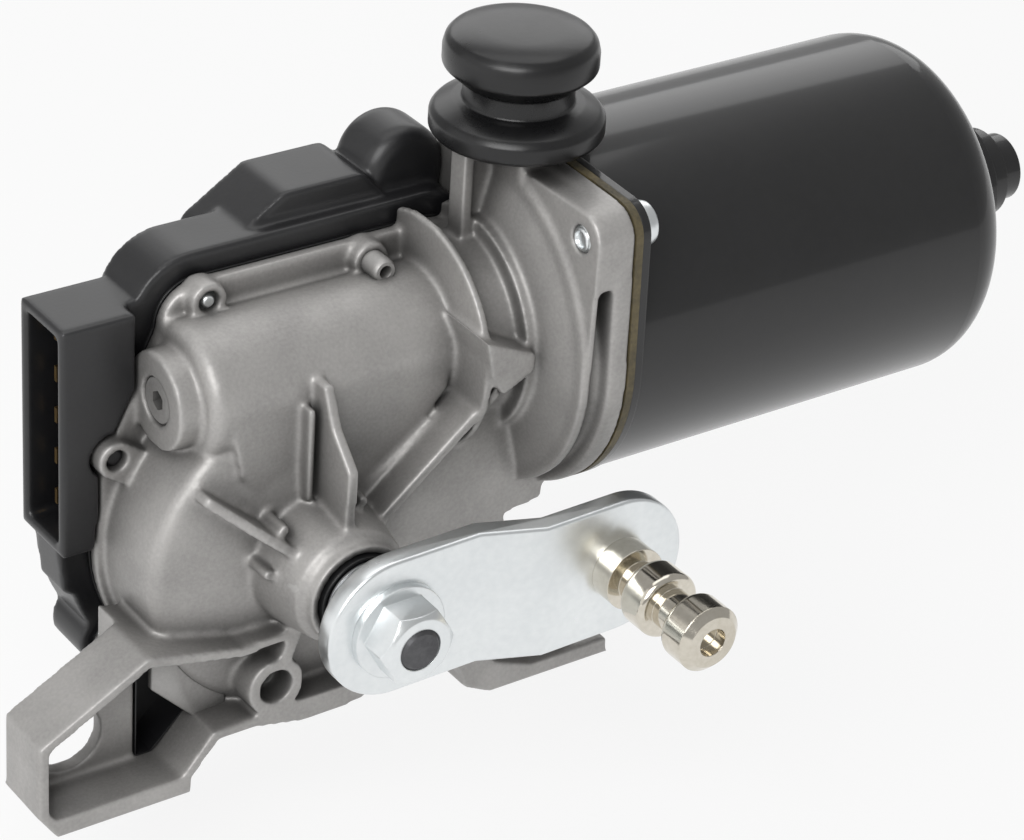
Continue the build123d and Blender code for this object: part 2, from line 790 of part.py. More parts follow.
def crank_pin():
    """Link pin riveted into the arm, with a collar and two rounded lands for the rod's socket."""
    face = crank_front_y - joggle
    tip = face - pin_length
    back = face + crank_t
    middle = face - pin_first_land
    end = face - pin_second_land
    half = pin_land_half
    pin = turned_y(
        (0, back + 0.8),
        (pin_rivet_r + 0.8, back + 0.8),
        (pin_rivet_r + 1.2, back),
        (pin_rivet_r, back),
        (pin_rivet_r, face),
        (pin_collar_r, face),
        (pin_collar_r, face - pin_collar_t),
        (pin_neck_r, face - pin_collar_t - 0.4),
        (pin_neck_r, middle + half),
        (pin_land_r, middle + half),
        (pin_land_r, middle - half),
        (pin_neck_r, middle - half),
        (pin_neck_r, end + half),
        (pin_land_r, end + half),
        (pin_land_r, end - half + 0.8),
        (pin_tip_r, tip),
        (0, tip),
    )
    for place in (middle + half, middle - half, end + half):
        pin = soften(pin, Axis.Y, pin_land_r, place, pin_land_edge)
    pin -= rod_y(0, 0, pin_hole_r, tip - 1, tip + 2.5)
    return Rot(0, -crank_rest_angle, 0) * Pos(crank_throw, 0, 0) * pin


def worm_thread():
    """One right-handed thread, a trapezium swept along a helix about the motor's axis."""
    pitch = math.pi * module
    slope = math.tan(math.radians(20))
    half = pitch / 4 - mesh_play / 2
    sunk = worm_root_r - 0.4
    root_half = half + (worm_pitch_r - sunk) * slope
    tip_half = half - module * slope
    helix = Helix(pitch, worm_length, worm_pitch_r)
    profile = Plane.XZ * shape(
        (sunk, -root_half),
        (worm_outer_r, -tip_half),
        (worm_outer_r, tip_half),
        (sunk, root_half),
    )
    thread = sweep(profile, path=helix, is_frenet=True)
    return Pos(-worm_length / 2, motor_y, motor_z) * Rot(0, 90, 0) * thread


def armature_shaft():
    """Steel shaft with the worm cut on its end."""
    half = worm_length / 2
    tip_x = tip_seat_x - 1.5
    end_x = nose_end_x - 4
    shaft = turned_x(
        (tip_x, 0),
        (tip_x, armature_shaft_r),
        (-half - 1.5, armature_shaft_r),
        (-half - 1.5, worm_root_r),
        (half + 1.5, worm_root_r),
        (half + 3.5, armature_shaft_r),
        (end_x, armature_shaft_r),
        (end_x, 0),
    )
    return shaft + worm_thread()


def ring_x(outer, inner, x0, x1):
    return rod_x(outer, x0, x1) - rod_x(inner, x0 - 1, x1 + 1)


def armature_core():
    """Stack of laminations with twelve winding slots."""
    stack = ring_x(core_r, armature_shaft_r, core_x, core_x + core_length)
    return stack - slot_fills(core_x - 1, core_x + core_length + 1, core_r + 1)


def slot_fills(x0, x1, reach):
    fills = []
    for i in range(slot_count):
        wide = Pos(0, 16.5) * Rectangle(5, 9)
        throat = Pos(0, (16.5 + reach) / 2) * Rectangle(1.6, reach - 16.5)
        slot = extrude(Plane.YZ.offset(x0) * (wide + throat), x1 - x0)
        fills.append(Pos(0, motor_y, motor_z) * Rot(i * 360 / slot_count, 0, 0) * slot)
    return fills


def windings():
    """Copper coils: the bundles in the slots and the heads at both ends."""
    front = (core_x - winding_over, core_x)
    rear = (core_x + core_length, core_x + core_length + winding_over)
    coil = turned_x(
        (front[0] + 1, 9), (front[0] + 1, 19), (front[0] + 3, 21), (front[1], 21), (front[1], 9)
    )
    coil += turned_x((rear[0], 9), (rear[0], 21), (rear[1] - 3, 21), (rear[1], 19), (rear[1], 9))
    for i in range(slot_count):
        bundle = extrude(Plane.YZ.offset(core_x) * Pos(0, 16.5) * Rectangle(5, 9), core_length)
        coil += Pos(0, motor_y, motor_z) * Rot(i * 360 / slot_count, 0, 0) * bundle
    return coil


def commutator():
    body = ring_x(commutator_r, armature_shaft_r, commutator_x, commutator_x + commutator_length)
    end = commutator_x + commutator_length
    body += ring_x(commutator_r + 1.5, armature_shaft_r, end, end + 1.5)
    rim_z = motor_z + commutator_r
    slit = block(commutator_x - 1, end, motor_y - 0.25, motor_y + 0.25, rim_z - 1, rim_z + 1)
    return body - [around_motor((i + 0.5) * 360 / slot_count) * slit for i in range(slot_count)]


def field_magnets():
    """Two curved ferrite magnets bonded inside the can."""
    x0 = core_x + core_length / 2 - magnet_length / 2
    ring = ring_x(can_inner_r, magnet_r, x0, x0 + magnet_length)
    side = block(-bulk, bulk, motor_y + 12, motor_y + bulk, -bulk, bulk)
    return [ring & side, ring & (around_motor(180) * side)]


def brush_plate():
    """Plastic carrier in the can's mouth, with a box for each brush."""
    x0 = commutator_x - 3.4
    plate = ring_x(can_inner_r, commutator_r + 2, x0, x0 + 2)
    half = brush_size / 2 + 1.2
    for side in (1, -1):
        z0, z1 = sorted((motor_z + side * (commutator_r + 2.5), motor_z + side * 27))
        plate += block(x0 + 2, x0 + 2 + brush_size + 3, motor_y - half, motor_y + half, z0, z1)
    for side in (1, -1):
        z0, z1 = sorted((motor_z + side * commutator_r, motor_z + side * 26))
        y0 = motor_y - brush_size / 2
        plate -= block(x0 + 3, x0 + 3 + brush_size, y0, y0 + brush_size, z0, z1)
    return plate


def carbon_brushes():
    x0 = commutator_x - 0.4
    brushes = []
    for side in (1, -1):
        z0, z1 = sorted((motor_z + side * (commutator_r - 1), motor_z + side * (commutator_r + 9)))
        half = brush_size / 2 - 0.1
        brush = block(x0, x0 + brush_size, motor_y - half, motor_y + half, z0, z1)
        brushes.append(brush - rod_x(commutator_r + 0.1, x0 - 1, x0 + brush_size + 1))
    return brushes


def brush_springs():
    """Small coil springs that push the brushes in."""
    springs = []
    for side in (1, -1):
        start = commutator_r + 9
        length = 26 - start
        wire = 0.35
        path = Helix(1.5, length - 2 * wire, 1.8)
        start_plane = Plane((1.8, 0, 0), x_dir=(1, 0, 0), z_dir=(0, 1, 0))
        coil = sweep(start_plane * Circle(wire), path=path, is_frenet=True)
        place = Pos(commutator_x + 2.6, motor_y, motor_z) * Rot(0 if side > 0 else 180, 0, 0)
        springs.append(place * Pos(0, 0, start + wire) * coil)
    return springs


def circuit_board():
    left = board_left_x
    board = rounded(3, (-18, -20), (left, 0), (left, 27), (-17, 39), (15, 39), (18, 20), (22, -16), (0, -26))
    return slab(board, board_y, board_y + board_t)


def board_posts():
    """Posts inside the cover that the board sits on."""
    return [rod_y(x, z, 3.2, board_y + board_t, cover_back_y - cover_wall) for x, z in board_post_places]


def park_contacts():
    """Three spring fingers from the board to the disc's tracks."""
    fingers = []
    for radius in (12, 15, 18):
        blade = extrude(
            shape(
                (-12, board_y),
                (-12, board_y - 0.5),
                (-1, wheel_y1 + 0.8 + apart),
                (1, wheel_y1 + 0.8 + apart),
                (1, wheel_y1 + 1.3 + apart),
                (-1, wheel_y1 + 1.4 + apart),
                (-11, board_y),
            ),
            0.8,
            both=True,
        )
        fingers.append(Pos(0, 0, -radius) * blade)
    return fingers


def connector_pins():
    """Flat blades in the plug socket."""
    pitch = (shroud_z1 - shroud_z0 - 12) / (pin_count - 1)
    pins = []
    for i in range(pin_count):
        z = shroud_z0 + 6 + i * pitch
        pins.append(block(shroud_x + 4.5, board_left_x + 2, board_y - 0.8, board_y, z - 1.5, z + 1.5))
    return pins


def main():
    seat = tip_seat_x - 1.6
    bush_x = nose_ring_x - 1.5
    parts = {
        "gear_housing": gear_housing(),
        "rear_cover": rear_cover(),
        "cover_gasket": cover_gasket(),
        "cover_screws": cover_screws(),
        "connector_pins": connector_pins(),
        "circuit_board": circuit_board(),
        "park_contacts": park_contacts(),
        "motor_can": motor_can(),
        "flange_gasket": flange_gasket(),
        "flange_screws": flange_screws(),
        "mount_grommet": mount_grommet(),
        "front_spindle_bush": spindle_bush(seal_depth + 0.5),
        "rear_spindle_bush": spindle_bush(inner_boss_y - bush_length),
        "spindle_seal": spindle_seal(),
        "spindle_washer": spindle_washer(),
        "circlip": circlip(),
        "output_shaft": output_shaft(),
        "thrust_washer": thrust_washer(),
        "worm_wheel": worm_wheel(),
        "park_disc": park_disc(),
        "crank_arm": crank_arm(),
        "crank_nut": crank_nut(),
        "crank_pin": crank_pin(),
        "armature_shaft": armature_shaft(),
        "armature_core": armature_core(),
        "windings": windings(),
        "commutator": commutator(),
        "worm_bearing": ring_x(bearing_r, armature_shaft_r + running, bearing_x, bearing_x + bearing_t),
        "tip_bush": ring_x(tip_bush_r, armature_shaft_r + running, tip_seat_x, tip_seat_x + 2.5),
        "thrust_pad": rod_x(plug_r, seat - 1.5, seat),
        "adjusting_screw": rod_x(plug_r, plug_boss_x + 0.6, seat - 1.5),
        "end_bush": ring_x(end_bush_r, armature_shaft_r + running, bush_x - end_bush_length, bush_x),
        "field_magnets": field_magnets(),
        "brush_plate": brush_plate(),
        "carbon_brushes": carbon_brushes(),
        "brush_springs": brush_springs(),
    }
    os.makedirs("parts", exist_ok=True)
    for name, piece in parts.items():
        solids = piece if isinstance(piece, list) else [piece]
        bodies = [s for item in solids for s in item.solids()]
        export_step(Compound(children=bodies) if len(bodies) > 1 else bodies[0], f"parts/{name}.step")
        print(name, len(bodies), round(sum(s.volume for s in bodies)))


main()
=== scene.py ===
import json
import math

import bpy
from mathutils import Matrix, Vector


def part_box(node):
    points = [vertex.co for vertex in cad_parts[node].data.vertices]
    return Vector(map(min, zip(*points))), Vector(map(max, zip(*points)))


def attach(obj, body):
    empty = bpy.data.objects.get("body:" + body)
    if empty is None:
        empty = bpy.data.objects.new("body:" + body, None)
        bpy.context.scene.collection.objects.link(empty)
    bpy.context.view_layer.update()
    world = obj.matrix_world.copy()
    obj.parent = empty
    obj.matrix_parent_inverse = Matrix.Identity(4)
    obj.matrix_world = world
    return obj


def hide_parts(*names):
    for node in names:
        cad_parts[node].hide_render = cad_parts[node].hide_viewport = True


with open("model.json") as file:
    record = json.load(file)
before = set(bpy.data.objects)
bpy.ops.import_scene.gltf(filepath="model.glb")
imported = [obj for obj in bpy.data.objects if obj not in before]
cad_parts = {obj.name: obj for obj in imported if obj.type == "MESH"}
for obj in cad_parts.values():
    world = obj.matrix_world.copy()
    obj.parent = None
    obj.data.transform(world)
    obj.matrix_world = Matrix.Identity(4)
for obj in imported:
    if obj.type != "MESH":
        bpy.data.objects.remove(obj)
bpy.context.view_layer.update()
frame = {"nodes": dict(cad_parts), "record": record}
bpy.ops.object.select_all(action="DESELECT")

MM = 0.001

SLOTS = {part["node"]: part["material_slot"] for part in frame["record"]["subparts"]}
BODIES = {
    node: body for body, nodes in frame["record"]["behaviour"]["bodies"].items() for node in nodes
}

# The photograph's view: angles in degrees, focal length and place of the crank hub in pixels, and
# the hub's place in the part and its distance from the camera in metres
IMAGE = (1024, 840)
VIEW_AZIMUTH = -36.5
VIEW_ELEVATION = 30.6
VIEW_ROLL = -3.96
FOCAL_PX = 3637
HUB_PX = (396, 628)
HUB_DISTANCE = 0.6217
HUB = Vector((0, -11.5 * MM, 0))
SENSOR_MM = 36

# The axes of the grommet (x, y) and of the motor (y, z), and how far across and up from the
# motor's axis each flange screw stands, in millimetres
GROMMET_AXIS = (46.2, 26.5)
MOTOR_AXIS = (28.2, 31.5)
FLANGE_SCREW_OUT = 26.8

# Cover screws: x and z of each, and the y of its point, in millimetres
COVER_SCREWS = (
    (-12.4, 45.8, 31.8),
    (20.5, 45.4, 33.5),
    (-29, -21.6, 32),
    (18, -31.4, 32),
    (37, 8.5, 32),
)

# Shares of the slow and the fast noise in a patch, and the range that goes from one colour to
# the other
NOISE_SHARES = (0.65, 0.35)
PATCH_RANGE = (0.35, 0.65)

# From none to full: edge wear, by how sharply the mesh turns at an edge, and shade painted into
# hollows, by how open a hollow is as seen over a reach in millimetres
WORN_TURN = (0.515, 0.57)
HOLLOW_SHADE = (0.85, 0.25)
HOLLOW_REACH = 22

# The share of the floor's look that is plain white, the rest being lit and shaded, and its height
# (metres), which leaves the crank room to turn
FLOOR_SHOWN = 0.85
FLOOR_Z = -0.062

# Lamps: name, place, size (metres) and power (watts), all aimed at the part's middle
LAMPS = (
    ("key", (-0.62, -0.5, 0.62), (0.7, 0.7), 7.5),
    ("top", (0.1, 0.2, 0.95), (1.0, 0.7), 2.5),
    ("back", (0.55, 0.95, 0.6), (1.4, 0.6), 3.5),
    ("side", (-1.0, 0.2, 0.3), (1.3, 1.3), 2.6),
)
PART_MIDDLE = (0.05, 0.03, 0.02)

# How brightly the white world lights the part, and the share of its own white that mirrors show
WORLD_LIGHT = 0.26
WORLD_MIRRORED = 0.25


def view_axes():
    """The camera's right, up and back directions."""
    azimuth, elevation, roll = (math.radians(a) for a in (VIEW_AZIMUTH, VIEW_ELEVATION, VIEW_ROLL))
    back = Vector((
        math.sin(azimuth) * math.cos(elevation),
        -math.cos(azimuth) * math.cos(elevation),
        math.sin(elevation),
    ))
    right = Vector((math.cos(azimuth), math.sin(azimuth), 0))
    up = back.cross(right)
    return (
        right * math.cos(roll) - up * math.sin(roll),
        right * math.sin(roll) + up * math.cos(roll),
        back,
    )


def add_camera():
    """The photograph's camera, placed so that the crank hub falls on its pixel."""
    right, up, back = view_axes()
    across = (HUB_PX[0] - IMAGE[0] / 2) / FOCAL_PX * HUB_DISTANCE
    above = -(HUB_PX[1] - IMAGE[1] / 2) / FOCAL_PX * HUB_DISTANCE
    place = HUB - right * across - up * above + back * HUB_DISTANCE
    data = bpy.data.cameras.new("photo_camera")
    data.sensor_width = SENSOR_MM
    data.lens = FOCAL_PX / IMAGE[0] * SENSOR_MM
    data.clip_start = 0.01
    camera = bpy.data.objects.new("photo_camera", data)
    facing = Matrix((right, up, back)).transposed()
    camera.matrix_world = Matrix.Translation(place) @ facing.to_4x4()
    bpy.context.scene.collection.objects.link(camera)
    bpy.context.scene.camera = camera


# Shader helpers


def new_material(name):
    material = bpy.data.materials.new(name)
    material.use_nodes = True
    tree = material.node_tree
    shader = tree.nodes["Principled BSDF"]
    return material, tree, shader


def set_inputs(node, **values):
    for name, value in values.items():
        node.inputs[name.replace("_", " ")].default_value = value


def colour(r, g, b):
    return (r, g, b, 1)


def group_with(name, inputs, outputs):
    """An empty shader group with float (F) and colour (C) sockets."""
    group = bpy.data.node_groups.new(name, "ShaderNodeTree")
    kinds = {"F": "NodeSocketFloat", "C": "NodeSocketColor"}
    for socket, kind, value in inputs:
        made = group.interface.new_socket(socket, in_out="INPUT", socket_type=kinds[kind])
        made.default_value = value
    for socket, kind in outputs:
        group.interface.new_socket(socket, in_out="OUTPUT", socket_type=kinds[kind])
    start = group.nodes.new("NodeGroupInput")
    end = group.nodes.new("NodeGroupOutput")
    return group, start, end


def place_group(tree, group, **values):
    node = tree.nodes.new("ShaderNodeGroup")
    node.node_tree = group
    set_inputs(node, **values)
    return node


def math_node(tree, operation, a, b):
    """A math node of two values, each a number or another node's output."""
    node = tree.nodes.new("ShaderNodeMath")
    node.operation = operation
    for socket, value in zip(node.inputs, (a, b)):
        if isinstance(value, (int, float)):
            socket.default_value = value
        else:
            tree.links.new(value, socket)
    return node.outputs[0]


def range_node(tree, value, low, high):
    """Where a value lies between two others, from 0 to 1."""
    reach = tree.nodes.new("ShaderNodeMapRange")
    set_inputs(reach, From_Min=low, From_Max=high)
    tree.links.new(value, reach.inputs["Value"])
    return reach.outputs["Result"]


def mix_colours(tree, share, first, second):
    mix = tree.nodes.new("ShaderNodeMix")
    mix.data_type = "RGBA"
    for source, socket in ((share, "Factor"), (first, "A"), (second, "B")):
        tree.links.new(source, mix.inputs[socket])
    return mix.outputs["Result"]


def mix_shaders(tree, share, first, second, end):
    """Mixes two shaders by a share and joins them to the tree's output node."""
    mix = tree.nodes.new("ShaderNodeMixShader")
    tree.links.new(share, mix.inputs["Fac"])
    tree.links.new(first.outputs[0], mix.inputs[1])
    tree.links.new(second.outputs[0], mix.inputs[2])
    tree.links.new(mix.outputs[0], tree.nodes[end].inputs["Surface"])


def rays_seen(tree, mirrored_share):
    """Marks the camera's own rays with 1, and its mirrored rays with a share."""
    path = tree.nodes.new("ShaderNodeLightPath").outputs
    own = math_node(tree, "ADD", path["Is Camera Ray"], path["Is Transmission Ray"])
    mirrored = math_node(tree, "MULTIPLY", path["Is Glossy Ray"], mirrored_share)
    return math_node(tree, "ADD", own, mirrored)


# Finishes


def make_patches_group():
    """Soft patches: a slow and a fast noise mix two colours, and the roughness follows them."""
    group, start, end = group_with(
        "surface_patches",
        [
            ("Colour A", "C", colour(0.5, 0.5, 0.5)),
            ("Colour B", "C", colour(0.4, 0.4, 0.4)),
            ("Scale", "F", 60),
            ("Fine Scale", "F", 900),
            ("Roughness", "F", 0.5),
            ("Spread", "F", 0.1),
        ],
        [("Colour", "C"), ("Roughness", "F"), ("Height", "F")],
    )
    nodes, links = group.nodes, group.links
    place = nodes.new("ShaderNodeTexCoord").outputs["Object"]
    noises = []
    for scale, detail in (("Scale", 3), ("Fine Scale", 4)):
        noise = nodes.new("ShaderNodeTexNoise")
        noise.inputs["Detail"].default_value = detail
        links.new(place, noise.inputs["Vector"])
        links.new(start.outputs[scale], noise.inputs["Scale"])
        noises.append(noise.outputs["Fac"])
    shares = [math_node(group, "MULTIPLY", noise, s) for noise, s in zip(noises, NOISE_SHARES)]
    both = math_node(group, "ADD", *shares)
    share = range_node(group, both, *PATCH_RANGE)
    mixed = mix_colours(group, share, start.outputs["Colour A"], start.outputs["Colour B"])
    links.new(mixed, end.inputs["Colour"])
    swing = math_node(group, "MULTIPLY", math_node(group, "SUBTRACT", both, 0.5), 2)
    swing = math_node(group, "MULTIPLY", swing, start.outputs["Spread"])
    rough = math_node(group, "ADD", start.outputs["Roughness"], swing)
    links.new(rough, end.inputs["Roughness"])
    links.new(noises[1], end.inputs["Height"])
    return group


def make_wear_and_shade_group():
    """Burnished edges where the mesh turns sharply, and shade painted into hollows where it is closed
    in.
    """
    group, start, end = group_with(
        "edges_and_hollows",
        [
            ("Colour", "C", colour(0.5, 0.5, 0.5)),
            ("Edge Colour", "C", colour(0.7, 0.7, 0.7)),
            ("Hollow Colour", "C", colour(0.1, 0.1, 0.1)),
            ("Edge Amount", "F", 0.3),
            ("Hollow Amount", "F", 0.8),
        ],
        [("Colour", "C")],
    )
    turn = group.nodes.new("ShaderNodeNewGeometry").outputs["Pointiness"]
    # Ambient occlusion paints shade into the colour of hollows
    hollow = group.nodes.new("ShaderNodeAmbientOcclusion")
    hollow.samples = 8
    hollow.inputs["Distance"].default_value = HOLLOW_REACH * MM
    mixed = start.outputs["Colour"]
    for name, source, reach in (
        ("Edge", turn, WORN_TURN),
        ("Hollow", hollow.outputs["AO"], HOLLOW_SHADE),
    ):
        wear_and_shade = range_node(group, source, *reach)
        share = math_node(group, "MULTIPLY", wear_and_shade, start.outputs[name + " Amount"])
        mixed = mix_colours(group, share, mixed, start.outputs[name + " Colour"])
    group.links.new(mixed, end.inputs["Colour"])
    return group


def surface(name, slots, shade, patches, bump, edge=0.0, wear_and_shade=None):
    """A finish of soft patches and a fine bump, for the slots named.

    bump is its height and edge the radius of softened edges, in millimetres. The last argument holds
    the values of the worn edges and of the shade painted into hollows, where the finish has them.
    """
    material, tree, shader = new_material(name)
    set_inputs(shader, **shade)
    mixed = place_group(tree, PATCHES, **patches)
    tint = mixed.outputs["Colour"]
    if wear_and_shade:
        edges = place_group(tree, WEAR_AND_SHADE, **wear_and_shade)
        tree.links.new(tint, edges.inputs["Colour"])
        tint = edges.outputs["Colour"]
    tree.links.new(tint, shader.inputs["Base Color"])
    tree.links.new(mixed.outputs["Roughness"], shader.inputs["Roughness"])
    relief = tree.nodes.new("ShaderNodeBump")
    set_inputs(relief, Strength=0.6, Distance=bump * MM)
    tree.links.new(mixed.outputs["Height"], relief.inputs["Height"])
    if edge:
        soft = tree.nodes.new("ShaderNodeBevel")
        soft.samples = 6
        soft.inputs["Radius"].default_value = edge * MM
        tree.links.new(soft.outputs["Normal"], relief.inputs["Normal"])
    tree.links.new(relief.outputs["Normal"], shader.inputs["Normal"])
    for slot in slots:
        MATERIALS[slot] = material


MATERIALS = {}
PATCHES = make_patches_group()
WEAR_AND_SHADE = make_wear_and_shade_group()


def make_materials():
    surface(
        "cast_aluminium",
        ["cast_housing"],
        {"Metallic": 0.45},
        {
            "Colour_A": colour(0.44, 0.428, 0.415),
            "Colour_B": colour(0.33, 0.321, 0.312),
            "Scale": 70,
            "Fine_Scale": 1500,
            "Roughness": 0.48,
            "Spread": 0.15,
        },
        bump=0.06,
        wear_and_shade={
            "Edge_Colour": colour(0.55, 0.545, 0.535),
            # Painted shade: the colour of the housing's hollows and how much of it shows
            "Hollow_Colour": colour(0.05, 0.049, 0.047),
            "Edge_Amount": 0.35,
            "Hollow_Amount": 0.85,
        },
    )
    surface(
        "gloss_black_paint",
        ["black_can"],
        {"Metallic": 0, "Specular_IOR_Level": 0.2, "Coat_Weight": 0.6, "Coat_Roughness": 0.1},
        {
            "Colour_A": colour(0.013, 0.013, 0.0135),
            "Colour_B": colour(0.016, 0.016, 0.0165),
            "Scale": 40,
            "Fine_Scale": 500,
            "Roughness": 0.35,
            "Spread": 0.05,
        },
        bump=0.004,
        edge=0.5,
    )
    surface(
        "black_moulding",
        ["black_cover", "carrier_plastic", "ferrite", "carbon"],
        {"Metallic": 0},
        {
            "Colour_A": colour(0.016, 0.016, 0.017),
            "Colour_B": colour(0.023, 0.023, 0.024),
            "Scale": 60,
            "Fine_Scale": 1200,
            "Roughness": 0.34,
            "Spread": 0.1,
        },
        bump=0.02,
        wear_and_shade={
            "Edge_Colour": colour(0.05, 0.05, 0.052),
            # Painted shade: the colour of the moulding's hollows and how much of it shows
            "Hollow_Colour": colour(0.004, 0.004, 0.005),
            "Edge_Amount": 0.4,
            "Hollow_Amount": 0.8,
        },
    )
    surface(
        "black_rubber",
        ["grommet_rubber", "seal_rubber"],
        {"Metallic": 0},
        {
            "Colour_A": colour(0.006, 0.006, 0.0065),
            "Colour_B": colour(0.009, 0.009, 0.0095),
            "Scale": 60,
            "Fine_Scale": 900,
            "Roughness": 0.3,
            "Spread": 0.1,
        },
        bump=0.02,
        edge=0.5,
    )
    surface(
        "zinc_plate",
        ["zinc_arm", "zinc_screws"],
        {"Metallic": 1},
        {
            "Colour_A": colour(0.86, 0.885, 0.89),
            "Colour_B": colour(0.76, 0.79, 0.8),
            "Scale": 45,
            "Fine_Scale": 700,
            "Roughness": 0.3,
            "Spread": 0.1,
        },
        bump=0.01,
        edge=0.4,
    )
    surface(
        "nickel_plate",
        ["nickel_pin"],
        {"Metallic": 1},
        {
            "Colour_A": colour(0.72, 0.68, 0.6),
            "Colour_B": colour(0.58, 0.54, 0.46),
            "Scale": 80,
            "Fine_Scale": 900,
            "Roughness": 0.12,
            "Spread": 0.05,
        },
        bump=0.004,
        edge=0.3,
    )
    surface(
        "ground_steel",
        ["shaft_steel", "core_steel"],
        {"Metallic": 1},
        {
            "Colour_A": colour(0.5, 0.51, 0.52),
            "Colour_B": colour(0.4, 0.41, 0.42),
            "Scale": 80,
            "Fine_Scale": 900,
            "Roughness": 0.3,
            "Spread": 0.1,
        },
        bump=0.005,
        edge=0.2,
    )
    surface(
        "gasket_paper",
        ["paper_gasket"],
        {"Metallic": 0.1},
        {
            "Colour_A": colour(0.15, 0.12, 0.06),
            "Colour_B": colour(0.05, 0.045, 0.03),
            "Scale": 200,
            "Fine_Scale": 1500,
            "Roughness": 0.6,
            "Spread": 0.1,
        },
        bump=0.02,
    )
    surface(
        "oiled_bronze",
        ["sintered_bronze", "contact_brass", "copper_wire"],
        {"Metallic": 1},
        {
            "Colour_A": colour(0.62, 0.42, 0.18),
            "Colour_B": colour(0.5, 0.32, 0.14),
            "Scale": 100,
            "Fine_Scale": 1500,
            "Roughness": 0.35,
            "Spread": 0.1,
        },
        bump=0.01,
    )
    surface(
        "white_acetal",
        ["wheel_plastic", "board_laminate"],
        {"Metallic": 0},
        {
            "Colour_A": colour(0.75, 0.72, 0.65),
            "Colour_B": colour(0.7, 0.67, 0.6),
            "Scale": 60,
            "Fine_Scale": 900,
            "Roughness": 0.4,
            "Spread": 0.05,
        },
        bump=0.005,
    )
    surface(
        "dark_steel",
        ["dark_steel"],
        {"Metallic": 0.8},
        {
            "Colour_A": colour(0.13, 0.13, 0.135),
            "Colour_B": colour(0.08, 0.08, 0.085),
            "Scale": 200,
            "Fine_Scale": 1500,
            "Roughness": 0.42,
            "Spread": 0.1,
        },
        bump=0.01,
    )


def dress_nodes():
    """Gives each CAD node the material of its slot in the record."""
    for name, node in frame["nodes"].items():
        node.data.materials.clear()
        node.data.materials.append(MATERIALS[SLOTS[name]])


# Pieces drawn with Blender's own tools


def choose(piece):
    bpy.ops.object.select_all(action="DESELECT")
    piece.select_set(True)
    bpy.context.view_layer.objects.active = piece


def apply_modifier(piece, kind, **values):
    choose(piece)
    modifier = piece.modifiers.new(kind.lower(), kind)
    for name, value in values.items():
        setattr(modifier, name, value)
    bpy.ops.object.modifier_apply(modifier=modifier.name)


def edit_whole(piece, operator, **values):
    """Runs one mesh operator on the whole of a piece."""
    choose(piece)
    bpy.ops.object.mode_set(mode="EDIT")
    bpy.ops.mesh.select_all(action="SELECT")
    operator(**values)
    bpy.ops.object.mode_set(mode="OBJECT")


def bevel_edges(piece, width, angle):
    """Rounds the edges sharper than an angle in degrees by a width in millimetres."""
    limit = {"limit_method": "ANGLE", "angle_limit": math.radians(angle)}
    apply_modifier(piece, "BEVEL", width=width * MM, segments=3, **limit)


def cut_cylinder(piece, **values):
    """Cuts a cylinder's shape out of a piece."""
    bpy.ops.object.select_all(action="DESELECT")
    bpy.ops.mesh.primitive_cylinder_add(**values)
    cutter = bpy.context.object
    apply_modifier(piece, "BOOLEAN", operation="DIFFERENCE", object=cutter)
    bpy.data.objects.remove(cutter)


def cut_socket(piece, radius, depth, top):
    """Sinks a six-cornered socket into a piece's end, along Z (millimetres)."""
    place = (0, 0, top * MM)
    cut_cylinder(piece, vertices=6, radius=radius * MM, depth=2 * depth * MM, location=place)


def finish_piece(piece, name, node, angle=40, finish=None, stands_for=True):
    """Names a piece and gives it a node's body, slot and finish; it may stand for the node."""
    piece.name = name
    piece.data.name = name
    choose(piece)
    bpy.ops.object.shade_smooth_by_angle(angle=math.radians(angle))
    piece.data.materials.clear()
    piece.data.materials.append(MATERIALS[finish or SLOTS[node]])
    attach(piece, BODIES[node])
    if stands_for:
        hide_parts(node)


def merged_copy(node):
    """A copy of a CAD node's mesh with its corners joined."""
    piece = bpy.data.objects.new(node + "_copy", frame["nodes"][node].data.copy())
    bpy.context.scene.collection.objects.link(piece)
    edit_whole(piece, bpy.ops.mesh.remove_doubles, threshold=0.001 * MM)
    return piece


def cast_over(node, name, grain, rounds, share):
    """The node's shape with the soft blends that a mould leaves at its edges and corners."""
    piece = merged_copy(node)
    apply_modifier(piece, "REMESH", mode="VOXEL", voxel_size=grain * MM)
    apply_modifier(piece, "SMOOTH", factor=0.5, iterations=rounds)
    apply_modifier(piece, "DECIMATE", ratio=share)
    finish_piece(piece, name, node, 180)


def stamped_over(node, name, width, angle=35):
    """The node's shape with narrow rounded edges."""
    piece = merged_copy(node)
    edit_whole(piece, bpy.ops.mesh.dissolve_limited, angle_limit=math.radians(1))
    bevel_edges(piece, width, angle)
    finish_piece(piece, name, node, angle)


def turned(profile, segments=64):
    """A round piece about Z: a circle is extruded and scaled to each (radius, height) step."""
    radius, height = profile[0]
    bpy.ops.object.select_all(action="DESELECT")
    bpy.ops.mesh.primitive_circle_add(
        vertices=segments, radius=radius * MM, fill_type="NGON", location=(0, 0, height * MM)
    )
    piece = bpy.context.object
    bpy.ops.object.transform_apply(location=True, rotation=True, scale=True)
    bpy.ops.object.mode_set(mode="EDIT")
    bpy.ops.mesh.select_all(action="SELECT")
    for next_radius, next_height in profile[1:]:
        lift = (0, 0, (next_height - height) * MM)
        bpy.ops.mesh.extrude_region_move(TRANSFORM_OT_translate={"value": lift})
        ratio = next_radius / radius
        bpy.ops.transform.resize(value=(ratio, ratio, 1), center_override=(0, 0, next_height * MM))
        radius, height = next_radius, next_height
    bpy.ops.mesh.select_all(action="SELECT")
    bpy.ops.mesh.normals_make_consistent(inside=False)
    bpy.ops.object.mode_set(mode="OBJECT")
    return piece


